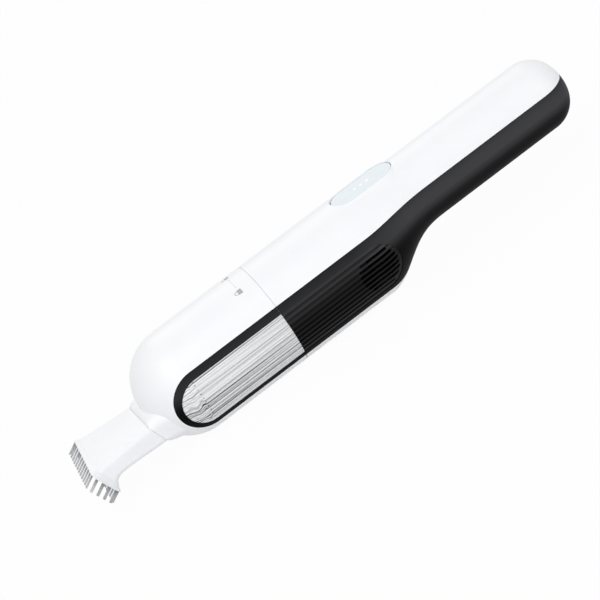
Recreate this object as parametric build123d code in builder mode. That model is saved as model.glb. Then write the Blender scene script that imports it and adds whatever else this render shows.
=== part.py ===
"""Handheld cordless vacuum cleaner with a twist-off dust cup and a brush nozzle.

Millimetres, +Z up, +X towards the handle end. The origin is the middle of the
resting flat under the belly. Stations along the body count from the ring seam
between dust cup and body, and heights called rise count from the long axis.
"""
import os
from math import cos, radians, sin, sqrt

from build123d import *

os.makedirs("parts", exist_ok=True)

# Outer form
body_radius = 31.0
rest_half_width = 7.0
axis_height = sqrt(body_radius**2 - rest_half_width**2)
seam_x = -32.6
wall = 2.0
seam_half = 0.2
overrun = 5.0
fit_gap = 0.05
free_gap = 0.3
shoulder_start = 59.9
shoulder_end = 109.0
shoulder_steps = 8
shoulder_power = 0.78
handle_radius = 21.14
handle_drop = 0.98
handle_rise = body_radius - handle_drop - handle_radius
handle_end = 205.3
handle_nose = 3.64
handle_round = handle_radius - handle_nose
dome_front = -88.5
dome_nose = 2.0
dome_round = body_radius - dome_nose
cup_rear = -seam_half
cup_foot_gap = 0.2

# Colour splits and side panels, heights above the long axis
split_drop = 16.5
split_rise = body_radius - split_drop
belt_lift = 9.5
belt_rise = belt_lift - body_radius
frame_front = -76.5
frame_mid = (split_rise + belt_rise) / 2
frame_half = (split_rise - belt_rise) / 2
frame_rim_top = 4.5
frame_rim_bottom = 3.1
frame_rim_front = 4.0
panel_mid = frame_mid + (frame_rim_bottom - frame_rim_top) / 2
panel_half = frame_half - (frame_rim_bottom + frame_rim_top) / 2
panel_inset = 0.25
window_front = frame_front + frame_rim_front
grille_rear = 72.4
panel_rim_share = 0.141
panel_rim = panel_half * panel_rim_share
groove_pitch_share = 0.1986
groove_pitch = panel_half * groove_pitch_share
groove_count = 9
groove_share = 0.39
groove_width = groove_pitch * groove_share
groove_depth = 0.7
flute_depth = 0.5
slot_share = 0.64
slot_width = groove_pitch * slot_share
vent_margin = 1.6
vent_radius = panel_half - vent_margin
vent_row_share = 0.8

# Power button and its lights
button_x = 79.3
button_length = 39.6
button_drop = 1.5
button_top = body_radius - button_drop
button_gap = 0.35
button_depth = 7.0
button_floor = body_radius - button_depth
button_flange = 1.1
button_width_share = 0.885
button_width = handle_radius * button_width_share
button_flange_height = 1.0
button_round = 0.5
button_rim = 0.9
button_rim_drop = 0.05
button_rim_foot = 5.6
button_travel = 1.0
button_dish_offset = 12.4
button_dish_sphere = 36.0
button_dish_depth = 0.35
stem_radius = 2.2
light_pitch = 4.15
light_count = 3
light_radius = 0.7
light_depth = 2.6

# Control board, switch and screws
board_drop = 15.0
board_rise = body_radius - board_drop
board_thickness = 1.6
board_length = 36.0
board_corner = 2.0
post_radius = 2.0
post_reach_x = 16.0
switch_side = 6.0
switch_height = 2.6
plunger_radius = 1.75
plunger_height = 0.5
board_screw_radius = 1.0
board_screw_head = 1.8
board_screw_head_height = 1.2
board_screw_bite = 3.5
tab_thickness = 4.2
tab_length = 7.0
tab_inner_y = 3.6
boss_radius = 3.0
case_screw_radius = 1.2
case_screw_head = 2.4
case_screw_head_height = 1.8
case_screw_bite = 4.0
board_sink = body_radius - handle_drop - wall - board_rise - board_thickness
board_edge_gap = 1.54
board_width = 2 * (sqrt(2 * (handle_radius - wall) * board_sink - board_sink**2) - board_edge_gap)
post_inset = 2.0
post_reach_y = board_width / 2 - post_inset
board_side_gap = 1.0
case_screw_front_y = board_width / 2 + boss_radius + board_side_gap
case_screw_rear_x = 186.0

# Bulkhead, lock ring and filter
bulkhead_front = 1.2
bulkhead_rear = 4.5
spigot_front = -8.0
ring_gap = 0.4
ring_radius = body_radius - wall - ring_gap
ring_wall = 1.7
spigot_radius = ring_radius - ring_wall
spigot_wall = 1.5
spigot_bore = spigot_radius - spigot_wall
ring_rear = 0.8
seal_groove_depth = 0.8
seal_width = 2.0
seal_front = -5.0
filter_front = -34.0
filter_cap = 2.0
filter_plate_front = -7.0
filter_plate_rear = -4.0
filter_gap = 0.4
filter_radius = spigot_bore - filter_gap
filter_step = 3.0
filter_cap_radius = filter_radius - filter_step
filter_skirt = 1.6
filter_skirt_rear = 0.8
filter_bars = 8
filter_bar_width = 3.0
filter_bar_depth = 1.5
filter_seal_front = -3.0
filter_seal_width = 1.6
pleat_count = 36
pleat_gap = 2.0
pleat_outer = filter_cap_radius - pleat_gap
pleat_depth = 4.5
pleat_inner = pleat_outer - pleat_depth
pleat_backing = 2.5
pleat_bore = pleat_inner - pleat_backing
filter_lip = 1.0
filter_bore = pleat_bore - filter_lip
air_hole_lip = 2.0
air_hole_radius = filter_bore - air_hole_lip

# Fan and motor
shroud_rear = 21.0
shroud_wall = 2.5
shroud_bore = body_radius - wall - shroud_wall
shroud_plate = 2.0
shroud_port_radius = 3.0
shroud_port_inset = 5.5
shroud_port_circle = shroud_bore - shroud_port_inset
shroud_ports = 8
nose_hole = 6.0
shaft_radius = 1.5
shaft_front = 6.5
shaft_rear = 59.0
impeller_front = 8.0
impeller_rear = 17.5
impeller_plate = 1.5
impeller_gap = 3.0
impeller_radius = shroud_bore - impeller_gap
impeller_hub = 4.5
blade_count = 9
blade_thickness = 1.2
blade_root = 3.6
blade_sweep = 28.0
motor_radius = 15.0
motor_wall = 1.0
motor_front_wall = 2.0
motor_rear = 56.0
motor_clearance = 0.5
case_screw_front_x = motor_rear + motor_clearance + tab_length / 2
cap_thickness = 3.0
stator_front = 28.0
stator_rear = 50.0
stator_bore = 8.0
rotor_radius = 7.6

# Battery and charging
cell_length = 50.0
cell_side_gap = 0.64
cell_mid_gap = 0.6
cell_radius = (handle_radius - wall - cell_side_gap - cell_mid_gap / 2) / 2
cell_offset = cell_radius + cell_mid_gap / 2
holder_front = 110.5
holder_plate = 4.0
contact_thickness = 0.3
contact_radius = 5.0
contact_floor = 1.7
spine_half_width = 2.0
spine_inner = 5.8
spine_outer = 9.0
port_width = 8.94
port_height = 3.2
port_wall = 0.3
port_length = 7.3
port_front_inset = 0.7
port_gap = 0.2
port_round_share = 0.48
tongue_width = 6.7
tongue_thickness = 0.7
tongue_length = 5.5
charge_board_front = 183.0
charge_board_rear = 202.0
charge_board_side = 2.53
charge_board_width = port_width + 2 * charge_board_side
charge_board_gap = 1.4
case_screw_rear_y = charge_board_width / 2 + charge_board_gap + tab_inner_y
charge_board_thickness = 1.2
rib_front = 186.0
rib_rear = 197.0
rib_thickness = 1.6
rib_offset_share = 0.32
rib_offset = charge_board_width * rib_offset_share

# Nozzle socket, inlet duct and flap
collar_width = 38.2
collar_drop = 1.1
collar_top = -collar_drop
collar_height = 14.2
collar_bottom = collar_top - collar_height
collar_corner = 3.4
collar_front_top = -92.2
collar_tilt = 19.5
collar_rear = -70.0
collar_length = 13.0
collar_steps = 10
collar_swell_top = 3.4
collar_swell_bottom = 4.2
collar_swell_side = 2.8
collar_swell_corner = 4.4
collar_lip_power = 6
socket_lift = 7.4
socket_mid = collar_bottom + socket_lift
tube_front = -86.0
tube_width = 35.4
tube_height = 12.6
tube_corner = 4.2
pocket_width = 31.0
pocket_height = 9.4
pocket_corner = 2.9
passage_width = 27.2
passage_height = 6.0
passage_corner = 1.6
duct_front = -76.0
duct_rear = -58.3
ear_inner = 12.0
ear_thickness = 1.8
ear_length = 4.0
ear_radius = 1.9
hinge_lift = 2.0
pin_radius = 0.75
flap_thickness = 1.6
flap_barrel = 1.6
flap_half_width = 14.6
flap_neck_half_width = 11.6
flap_drop_top = 2.3
flap_bottom_margin = 0.6

# Brush nozzle
nozzle_front_top = -129.2
nozzle_root_drop = 0.3
nozzle_root_rise = collar_top - nozzle_root_drop
nozzle_mouth_lift = 1.1
nozzle_mouth_rise = nozzle_root_rise + nozzle_mouth_lift
root_width = 37.6
root_height = 14.4
root_corner = 3.1
neck_width = 46.4
neck_height = 11.8
neck_corner = 3.6
neck_wall = 2.4
mouth_width = 55.3
mouth_height = 19.6
mouth_corner = 4.7
mouth_wall = 3.4
mouth_tilt = 22.8
mouth_skew = 5.7
nozzle_steps = 12
station_power = 1.5
flare_power = 9
lip_power = 20
spigot_width = 30.4
spigot_height = 8.8
spigot_corner = 2.6
spigot_rear = -77.0
nozzle_seal_front = -84.0
nozzle_seal_rear = -82.0
backing = 0.8
backing_margin = 0.4
tuft_count = 32
tuft_inset = 1.06
tuft_strands = 6
tuft_rows = 2
strand_side = 0.24
strand_pitch = 0.29
row_pitch = 0.4
bristle_length = 7.6
bristle_dip = 29.5

long_axis = Axis((0, 0, axis_height), (1, 0, 0))
side = Plane(origin=(seam_x, 0, axis_height), x_dir=(1, 0, 0), z_dir=(0, -1, 0))


def across(x, rise=0):
    """Plane square to the long axis at a station, its centre raised above the axis."""
    return Plane(
        origin=(seam_x + x, 0, axis_height + rise), x_dir=(0, 1, 0), z_dir=(1, 0, 0)
    )


def level(rise):
    """Plane facing up at a height above the long axis."""
    return Plane(origin=(seam_x, 0, axis_height + rise))


def disc(start, end, radius, rise=0, mode=Mode.ADD):
    """Round bar along the long axis between two stations."""
    with BuildSketch(across(start, rise)) as profile:
        Circle(radius)
    extrude(profile.sketch, amount=end - start, mode=mode)


def ring(start, end, radius, bore):
    """Plain ring along the long axis between two stations."""
    with BuildSketch(across(start)) as profile:
        Circle(radius)
        Circle(bore, mode=Mode.SUBTRACT)
    extrude(profile.sketch, amount=end - start)


def block(start, end, width, height, corner, rise, mode=Mode.ADD):
    """Round-cornered bar along the long axis between two stations."""
    with BuildSketch(across(start, rise)) as profile:
        RectangleRounded(width, height, corner)
    extrude(profile.sketch, amount=end - start, mode=mode)


def shoulder_share(share):
    """Smooth step that leaves and meets both straight lengths level."""
    return share**3 * (10 - 15 * share + 6 * share**2)


def hull(inset, start=seam_half):
    """Body, shoulder and handle as one solid, drawn in by an inset."""
    with BuildPart() as form:
        disc(start, shoulder_start, body_radius - inset)
        for step in range(shoulder_steps + 1):
            blend = shoulder_share((step / shoulder_steps) ** shoulder_power)
            radius = body_radius + (handle_radius - body_radius) * blend
            rise = body_radius - handle_drop * blend - radius
            x = shoulder_start + (shoulder_end - shoulder_start) * step / shoulder_steps
            with BuildSketch(across(x, rise)):
                Circle(radius - inset)
        loft()
        with BuildSketch(side):
            with BuildLine():
                arc = CenterArc(
                    (handle_end - handle_round, handle_rise + handle_radius - handle_round),
                    handle_round - inset,
                    0,
                    90,
                )
                Polyline(
                    arc @ 1,
                    (shoulder_end, handle_rise + handle_radius - inset),
                    (shoulder_end, handle_rise),
                    (handle_end - inset, handle_rise),
                    arc @ 0,
                )
            make_face()
        revolve(axis=Axis((0, 0, axis_height + handle_rise), (1, 0, 0)))
    return form.part


def dome(inset, rear=cup_rear):
    """Dust cup as one solid with its domed front, drawn in by an inset."""
    with BuildPart() as form:
        with BuildSketch(side):
            with BuildLine():
                arc = CenterArc(
                    (dome_front + dome_round, body_radius - dome_round),
                    dome_round - inset,
                    90,
                    90,
                )
                Polyline(
                    arc @ 1,
                    (dome_front + inset, 0),
                    (rear, 0),
                    (rear, body_radius - inset),
                    arc @ 0,
                )
            make_face()
        revolve(axis=long_axis)
    return form.part


def side_prism(round_x, flat_x, mid, half, both=False):
    """Prism out through the side with one round end and one flat end."""
    with BuildPart() as prism:
        with BuildSketch(side):
            with Locations((round_x, mid)):
                Circle(half)
            with Locations(((round_x + flat_x) / 2, mid)):
                Rectangle(abs(flat_x - round_x), 2 * half)
        extrude(amount=body_radius + overrun, both=both)
    return prism.part


def groove_offsets():
    """Heights of the grooves about the middle of the side panels."""
    return [groove_pitch * (row - (groove_count - 1) / 2) for row in range(groove_count)]


def groove_bars(spans, width):
    """Round-ended bars out through the side, one for each span and height."""
    with BuildPart() as bars:
        with BuildSketch(side):
            for start, end, offset in spans:
                with Locations(((start + end) / 2, panel_mid + offset)):
                    SlotOverall(end - start, width)
        extrude(amount=body_radius + overrun)
    return bars.part


def mouth_plane(x_top, rise, tilt, skew=0):
    """Plane of a nozzle section, its lower edge set back by the tilt and one side by the skew."""
    lean = radians(tilt)
    yaw = radians(skew)
    return Plane(
        origin=(seam_x + x_top, 0, axis_height + rise),
        x_dir=(sin(yaw), cos(yaw), 0),
        z_dir=(-cos(yaw) * cos(lean), sin(yaw) * cos(lean), -sin(lean)),
    )


def nozzle_loft(root, neck, mouth, mode):
    """Nozzle form from root to mouth, each (width, height, corner, top margin).

    The neck holds the sizes a plain taper would reach at the mouth. The lip flares
    from there, its width later than its height.
    """
    root_x = collar_front_top - free_gap
    sections = []
    for step in range(nozzle_steps + 1):
        along = 1 - (1 - step / nozzle_steps) ** station_power
        flares = (along**lip_power, along**flare_power, along**flare_power, along**flare_power)
        width, height, corner, margin = [
            a + (b - a) * along + (c - b) * flare for a, b, c, flare in zip(root, neck, mouth, flares)
        ]
        plane = mouth_plane(
            root_x + (nozzle_front_top - root_x) * along,
            nozzle_root_rise + (nozzle_mouth_rise - nozzle_root_rise) * along,
            collar_tilt + (mouth_tilt - collar_tilt) * along,
            mouth_skew * along,
        )
        with BuildSketch(plane) as section:
            with Locations((0, margin + height / 2)):
                RectangleRounded(width, height, corner)
        sections.append(section.sketch)
    loft(sections, mode=mode)


def publish(builder, name):
    """Label a finished piece and write its file."""
    builder.part.label = name
    export_step(builder.part, f"parts/{name}.step")


outer_hull = hull(0)
cavity = hull(wall, seam_half - overrun)
half_wall_hull = hull(wall / 2)
cup_cavity = dome(wall, cup_rear + overrun)
panel_round_x = grille_rear - panel_half
grille_prism = side_prism(panel_round_x, cup_rear - overrun, panel_mid, panel_half)
grille_prism_both = side_prism(panel_round_x, cup_rear - overrun, panel_mid, panel_half, True)
frame_prism_both = side_prism(frame_front + frame_half, overrun, frame_mid, frame_half, True)
frame_prism = side_prism(frame_front + frame_half, overrun, frame_mid, frame_half)
window_round_x = window_front + panel_half
window_prism = side_prism(window_round_x, overrun, panel_mid, panel_half)
post_spots = [
    (button_x + sx * post_reach_x, sy * post_reach_y) for sx in (-1, 1) for sy in (-1, 1)
]
case_spots = [
    (x, sy * y)
    for x, y in ((case_screw_front_x, case_screw_front_y), (case_screw_rear_x, case_screw_rear_y))
    for sy in (-1, 1)
]

# Main body shells
button_rim_edge = button_gap + button_rim
with BuildPart() as button_surround:
    for rise, margin in ((button_floor, button_rim_foot), (button_top - button_rim_drop, button_rim_edge)):
        with BuildSketch(level(rise)):
            with Locations((button_x, 0)):
                SlotOverall(button_length + 2 * margin, button_width + 2 * margin)
    loft()

with BuildPart() as top_shell:
    add(outer_hull)
    split(bisect_by=level(split_rise), keep=Keep.TOP)
    add(button_surround.part)
    add(cavity, mode=Mode.SUBTRACT)
    with BuildSketch(level(button_floor)):
        with Locations((button_x, 0)):
            SlotOverall(button_length + 2 * button_gap, button_width + 2 * button_gap)
    extrude(amount=body_radius, mode=Mode.SUBTRACT)

with BuildPart() as top_posts:
    with BuildSketch(level(board_rise + board_thickness)):
        with Locations(*post_spots):
            Circle(post_radius)
    extrude(amount=body_radius)
    with BuildSketch(level(split_rise)):
        with Locations(*case_spots):
            Circle(boss_radius)
    extrude(amount=body_radius)
    add(half_wall_hull, mode=Mode.INTERSECT)

with BuildPart() as top_shell_done:
    add(top_shell.part)
    add(top_posts.part)
    with BuildSketch(level(board_rise + board_thickness)):
        with Locations(*post_spots):
            Circle(board_screw_radius)
    extrude(amount=board_screw_bite, mode=Mode.SUBTRACT)
    with BuildSketch(level(split_rise)):
        with Locations(*case_spots):
            Circle(case_screw_radius)
    extrude(amount=case_screw_bite, mode=Mode.SUBTRACT)

publish(top_shell_done, "top_shell")

charge_rise = handle_rise - port_height / 2
with BuildPart() as lower_fixings:
    with BuildSketch(level(split_rise - tab_thickness)):
        for x, y in case_spots:
            reach = body_radius - abs(y) + tab_inner_y
            with Locations((x, (abs(y) - tab_inner_y + reach / 2) * (1 if y > 0 else -1))):
                Rectangle(tab_length, reach)
    extrude(amount=tab_thickness)
    with BuildSketch(level(charge_rise - charge_board_thickness)):
        for sy in (-1, 1):
            with Locations(((rib_front + rib_rear) / 2, sy * rib_offset)):
                Rectangle(rib_rear - rib_front, rib_thickness)
    extrude(amount=-body_radius)
    add(half_wall_hull, mode=Mode.INTERSECT)

with BuildPart() as lower_shell:
    add(outer_hull)
    split(bisect_by=level(split_rise), keep=Keep.BOTTOM)
    split(bisect_by=level(belt_rise), keep=Keep.TOP)
    add(cavity, mode=Mode.SUBTRACT)
    add(grille_prism_both, mode=Mode.SUBTRACT)
    add(lower_fixings.part)
    with BuildSketch(level(split_rise)):
        with Locations(*case_spots):
            Circle(case_screw_radius)
    extrude(amount=-tab_thickness, mode=Mode.SUBTRACT)
    with BuildSketch(across(handle_end, handle_rise)):
        RectangleRounded(
            port_width + 2 * port_gap,
            port_height + 2 * port_gap,
            (port_height + 2 * port_gap) * port_round_share,
        )
    extrude(amount=-port_length, mode=Mode.SUBTRACT)

publish(lower_shell, "lower_shell")

with BuildPart() as belly_cover:
    add(outer_hull)
    split(bisect_by=level(belt_rise), keep=Keep.BOTTOM)
    split(bisect_by=Plane.XY, keep=Keep.TOP)
    add(cavity, mode=Mode.SUBTRACT)

publish(belly_cover, "belly_cover")

# Ribbed exhaust panels
panel_end = panel_half - panel_rim
groove_spans = [
    (cup_rear - overrun, panel_round_x + sqrt(panel_end**2 - offset**2), offset)
    for offset in groove_offsets()
]
vent_spans = [
    (
        panel_round_x - sqrt(vent_radius**2 - offset**2),
        panel_round_x + sqrt(panel_end**2 - offset**2),
        offset,
    )
    for offset in groove_offsets()
    if abs(offset) < vent_radius * vent_row_share
]
with BuildPart() as grille_floor:
    add(hull(panel_inset + groove_depth))
    add(cavity, mode=Mode.SUBTRACT)
    add(grille_prism, mode=Mode.INTERSECT)

with BuildPart() as exhaust_grille_left:
    add(hull(panel_inset))
    add(cavity, mode=Mode.SUBTRACT)
    add(grille_prism, mode=Mode.INTERSECT)
    add(groove_bars(groove_spans, groove_width), mode=Mode.SUBTRACT)
    add(grille_floor.part)
    add(groove_bars(vent_spans, slot_width), mode=Mode.SUBTRACT)

publish(exhaust_grille_left, "exhaust_grille_left")

with BuildPart() as exhaust_grille_right:
    mirror(exhaust_grille_left.part, about=Plane.XZ)

publish(exhaust_grille_right, "exhaust_grille_right")

# Power button with its three lights
with BuildPart() as power_button:
    with BuildSketch(level(button_floor)):
        with Locations((button_x, 0)):
            SlotOverall(button_length, button_width)
    extrude(amount=button_top - button_floor)
    fillet(power_button.faces().sort_by(Axis.Z)[-1].edges(), radius=button_round)
    for sx in (-1, 1):
        dish_x = seam_x + button_x + sx * button_dish_offset
        with Locations((dish_x, 0, axis_height + button_top + button_dish_sphere - button_dish_depth)):
            Sphere(button_dish_sphere, mode=Mode.SUBTRACT)
    with BuildSketch(level(button_floor)):
        with Locations((button_x, 0)):
            SlotOverall(button_length + 2 * button_flange, button_width + 2 * button_flange)
    extrude(amount=-button_flange_height)
    switch_top = board_rise + board_thickness + switch_height + plunger_height
    with BuildSketch(level(button_floor - button_flange_height)):
        with Locations((button_x, 0)):
            Circle(stem_radius)
    extrude(amount=-(button_floor - button_flange_height - switch_top - button_travel - free_gap))
    with BuildSketch(level(button_top - light_depth)):
        with Locations((button_x, 0)):
            with GridLocations(light_pitch, 0, light_count, 1):
                Circle(light_radius)
    extrude(amount=light_depth, mode=Mode.SUBTRACT)

publish(power_button, "power_button")

with BuildPart() as button_lights:
    with BuildSketch(level(button_top - light_depth)):
        with Locations((button_x, 0)):
            with GridLocations(light_pitch, 0, light_count, 1):
                Circle(light_radius)
    extrude(amount=light_depth)

publish(button_lights, "button_lights")

# Control board under the button
with BuildPart() as control_board:
    with BuildSketch(level(board_rise)):
        with Locations((button_x, 0)):
            RectangleRounded(board_length, board_width, board_corner)
        with Locations(*post_spots):
            Circle(board_screw_radius, mode=Mode.SUBTRACT)
    extrude(amount=board_thickness)

publish(control_board, "control_board")

with BuildPart() as tact_switch:
    with BuildSketch(level(board_rise + board_thickness)):
        with Locations((button_x, 0)):
            Rectangle(switch_side, switch_side)
    extrude(amount=switch_height)
    with BuildSketch(level(board_rise + board_thickness + switch_height)):
        with Locations((button_x, 0)):
            Circle(plunger_radius)
    extrude(amount=plunger_height)

publish(tact_switch, "tact_switch")

with BuildPart() as board_screws:
    with BuildSketch(level(board_rise)):
        with Locations(*post_spots):
            Circle(board_screw_radius)
    extrude(amount=board_thickness + board_screw_bite)
    with BuildSketch(level(board_rise)):
        with Locations(*post_spots):
            Circle(board_screw_head)
    extrude(amount=-board_screw_head_height)

publish(board_screws, "board_screws")

with BuildPart() as case_screws:
    with BuildSketch(level(split_rise - tab_thickness)):
        with Locations(*case_spots):
            Circle(case_screw_radius)
    extrude(amount=tab_thickness + case_screw_bite)
    with BuildSketch(level(split_rise - tab_thickness)):
        with Locations(*case_spots):
            Circle(case_screw_head)
    extrude(amount=-case_screw_head_height)

publish(case_screws, "case_screws")

# Bulkhead, lock ring and seals at the ring seam
with BuildPart() as front_bulkhead:
    ring(bulkhead_front, bulkhead_rear, body_radius - wall, air_hole_radius)
    ring(spigot_front, bulkhead_front, spigot_radius, spigot_bore)

publish(front_bulkhead, "front_bulkhead")

with BuildPart() as lock_ring:
    ring(spigot_front, ring_rear, ring_radius, spigot_radius + fit_gap)
    with BuildSketch(across(seal_front)):
        Circle(ring_radius + overrun)
        Circle(ring_radius - seal_groove_depth, mode=Mode.SUBTRACT)
    extrude(amount=seal_width, mode=Mode.SUBTRACT)

publish(lock_ring, "lock_ring")

with BuildPart() as cup_seal:
    ring(
        seal_front,
        seal_front + seal_width,
        body_radius - wall - fit_gap,
        ring_radius - seal_groove_depth,
    )

publish(cup_seal, "cup_seal")

# Filter
with BuildPart() as filter_frame:
    disc(filter_front, filter_front + filter_cap, filter_cap_radius)
    ring(filter_plate_front, filter_plate_rear, filter_radius, filter_bore)
    ring(filter_plate_rear, filter_skirt_rear, filter_radius, filter_radius - filter_skirt)
    with BuildSketch(across(filter_front + filter_cap)):
        with PolarLocations(filter_cap_radius - filter_bar_depth / 2, filter_bars):
            Rectangle(filter_bar_depth, filter_bar_width)
    extrude(amount=filter_plate_front - filter_front - filter_cap)
    with BuildSketch(across(filter_seal_front)):
        Circle(filter_radius + overrun)
        Circle(filter_radius - seal_groove_depth, mode=Mode.SUBTRACT)
    extrude(amount=filter_seal_width, mode=Mode.SUBTRACT)

publish(filter_frame, "filter_frame")

with BuildPart() as filter_pleats:
    with BuildSketch(across(filter_front + filter_cap)):
        with BuildLine():
            Polyline(
                *[
                    Vector(pleat_inner if spot % 2 else pleat_outer, 0).rotate(
                        Axis.Z, 180 * spot / pleat_count
                    )
                    for spot in range(2 * pleat_count)
                ],
                close=True,
            )
        make_face()
        Circle(pleat_bore, mode=Mode.SUBTRACT)
    extrude(amount=filter_plate_front - filter_front - filter_cap)

publish(filter_pleats, "filter_pleats")

with BuildPart() as filter_seal:
    ring(
        filter_seal_front,
        filter_seal_front + filter_seal_width,
        spigot_bore - fit_gap,
        filter_radius - seal_groove_depth,
    )

publish(filter_seal, "filter_seal")

# Fan and motor
with BuildPart() as fan_shroud:
    ring(bulkhead_rear, shroud_rear, body_radius - wall, shroud_bore)
    ring(shroud_rear - shroud_plate, shroud_rear, shroud_bore, nose_hole)
    with BuildSketch(across(shroud_rear)):
        with PolarLocations(shroud_port_circle, shroud_ports):
            Circle(shroud_port_radius)
    extrude(amount=-shroud_plate, mode=Mode.SUBTRACT)

publish(fan_shroud, "fan_shroud")

with BuildPart() as motor_can:
    disc(shroud_rear, motor_rear, motor_radius)
    disc(shroud_rear + motor_front_wall, motor_rear, motor_radius - motor_wall, 0, Mode.SUBTRACT)
    disc(shroud_rear, motor_rear, shaft_radius + fit_gap, 0, Mode.SUBTRACT)

publish(motor_can, "motor_can")

with BuildPart() as motor_end_cap:
    ring(motor_rear - cap_thickness, motor_rear, motor_radius - motor_wall, shaft_radius + fit_gap)

publish(motor_end_cap, "motor_end_cap")

with BuildPart() as motor_stator:
    ring(stator_front, stator_rear, motor_radius - motor_wall, stator_bore)

publish(motor_stator, "motor_stator")

with BuildPart() as motor_shaft:
    disc(shaft_front, shaft_rear, shaft_radius)

publish(motor_shaft, "motor_shaft")

with BuildPart() as rotor_core:
    ring(stator_front, stator_rear, rotor_radius, shaft_radius)

publish(rotor_core, "rotor_core")

with BuildPart() as impeller:
    ring(impeller_rear - impeller_plate, impeller_rear, impeller_radius, shaft_radius)
    ring(impeller_front, impeller_rear, impeller_hub, shaft_radius)
    with BuildSketch(across(impeller_front)):
        for blade in range(blade_count):
            turn = 360 * blade / blade_count
            with BuildLine():
                root = Vector(blade_root, 0).rotate(Axis.Z, turn)
                tip = Vector(impeller_radius - blade_thickness, 0).rotate(Axis.Z, turn + blade_sweep)
                spine = RadiusArc(root, tip, impeller_radius, mode=Mode.PRIVATE)
                offset(spine, amount=blade_thickness / 2)
            make_face()
    extrude(amount=impeller_rear - impeller_plate - impeller_front)
    disc(impeller_front, impeller_rear, shaft_radius, 0, Mode.SUBTRACT)

publish(impeller, "impeller")

# Battery in the handle
holder_inner_rear = holder_front + 2 * contact_floor + 2 * contact_thickness + cell_length
cell_front = holder_front + contact_floor + contact_thickness
cell_spots = [(sy * cell_offset, 0) for sy in (-1, 1)]
with BuildPart() as battery_holder:
    disc(holder_front, holder_front + holder_plate, handle_radius - wall, handle_rise)
    disc(holder_inner_rear - holder_plate, holder_inner_rear, handle_radius - wall, handle_rise)
    with BuildSketch(across(holder_front, handle_rise)):
        for sz in (-1, 1):
            with Locations((0, sz * (spine_inner + spine_outer) / 2)):
                Rectangle(2 * spine_half_width, spine_outer - spine_inner)
    extrude(amount=holder_inner_rear - holder_front)
    with BuildSketch(across(holder_front + contact_floor, handle_rise)):
        with Locations(*cell_spots):
            Circle(cell_radius)
    extrude(amount=cell_length + 2 * contact_thickness, mode=Mode.SUBTRACT)

publish(battery_holder, "battery_holder")

with BuildPart() as battery_cells:
    with BuildSketch(across(cell_front, handle_rise)):
        with Locations(*cell_spots):
            Circle(cell_radius)
    extrude(amount=cell_length)

publish(battery_cells, "battery_cells")

with BuildPart() as cell_contacts:
    for x in (cell_front - contact_thickness, cell_front + cell_length):
        with BuildSketch(across(x, handle_rise)):
            with Locations(*cell_spots):
                Circle(contact_radius)
        extrude(amount=contact_thickness)

publish(cell_contacts, "cell_contacts")

# Charging port in the handle end
with BuildPart() as charge_board:
    with BuildSketch(level(charge_rise)):
        with Locations(((charge_board_front + charge_board_rear) / 2, 0)):
            Rectangle(charge_board_rear - charge_board_front, charge_board_width)
    extrude(amount=-charge_board_thickness)

publish(charge_board, "charge_board")

port_rear_x = handle_end - port_front_inset
with BuildPart() as charging_port:
    block(
        port_rear_x - port_length,
        port_rear_x,
        port_width,
        port_height,
        port_height * port_round_share,
        handle_rise,
    )
    block(
        port_rear_x - port_length + port_wall,
        port_rear_x,
        port_width - 2 * port_wall,
        port_height - 2 * port_wall,
        (port_height - 2 * port_wall) * port_round_share,
        handle_rise,
        Mode.SUBTRACT,
    )
    with BuildSketch(across(port_rear_x - port_length, handle_rise)):
        Rectangle(tongue_width, tongue_thickness)
    extrude(amount=tongue_length)

publish(charging_port, "charging_port")

# Dust cup
with BuildPart() as collar:
    collar_sections = []
    for step in range(collar_steps + 1):
        along = step / collar_steps
        lip = 1 - (1 - along) ** collar_lip_power
        swell = along**2 * (3 - 2 * along)
        top = collar_swell_top * lip
        height = collar_height / cos(radians(collar_tilt)) + top + collar_swell_bottom * lip
        plane = mouth_plane(collar_front_top + collar_length * along, collar_top, collar_tilt)
        with BuildSketch(plane) as section:
            with Locations((0, height / 2 - top)):
                RectangleRounded(
                    collar_width + 2 * collar_swell_side * swell,
                    height,
                    collar_corner + collar_swell_corner * lip,
                )
        collar_sections.append(section.sketch)
    loft(collar_sections)

outer_dome = dome(0)
with BuildPart() as cup_shell:
    add(outer_dome)
    add(collar.part)
    add(cup_cavity, mode=Mode.SUBTRACT)
    add(frame_prism_both, mode=Mode.SUBTRACT)
    block(tube_front, collar_rear, tube_width, tube_height, tube_corner, socket_mid)
    block(
        collar_front_top - overrun,
        collar_rear,
        pocket_width,
        pocket_height,
        pocket_corner,
        socket_mid,
        Mode.SUBTRACT,
    )
    split(bisect_by=Plane.XY.offset(cup_foot_gap), keep=Keep.TOP)

publish(cup_shell, "cup_shell")

with BuildPart() as window_frame_left:
    add(outer_dome)
    add(cup_cavity, mode=Mode.SUBTRACT)
    add(frame_prism, mode=Mode.INTERSECT)
    add(window_prism, mode=Mode.SUBTRACT)

publish(window_frame_left, "window_frame_left")

with BuildPart() as window_frame_right:
    mirror(window_frame_left.part, about=Plane.XZ)

publish(window_frame_right, "window_frame_right")

flute_spans = [
    (window_round_x - sqrt(panel_end**2 - offset**2), cup_rear + overrun, offset)
    for offset in groove_offsets()
]
with BuildPart() as window_floor:
    add(dome(panel_inset + flute_depth))
    add(cup_cavity, mode=Mode.SUBTRACT)
    add(window_prism, mode=Mode.INTERSECT)

with BuildPart() as window_left:
    add(dome(panel_inset))
    add(cup_cavity, mode=Mode.SUBTRACT)
    add(window_prism, mode=Mode.INTERSECT)
    add(groove_bars(flute_spans, groove_width), mode=Mode.SUBTRACT)
    add(window_floor.part)

publish(window_left, "window_left")

with BuildPart() as window_right:
    mirror(window_left.part, about=Plane.XZ)

publish(window_right, "window_right")

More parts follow.
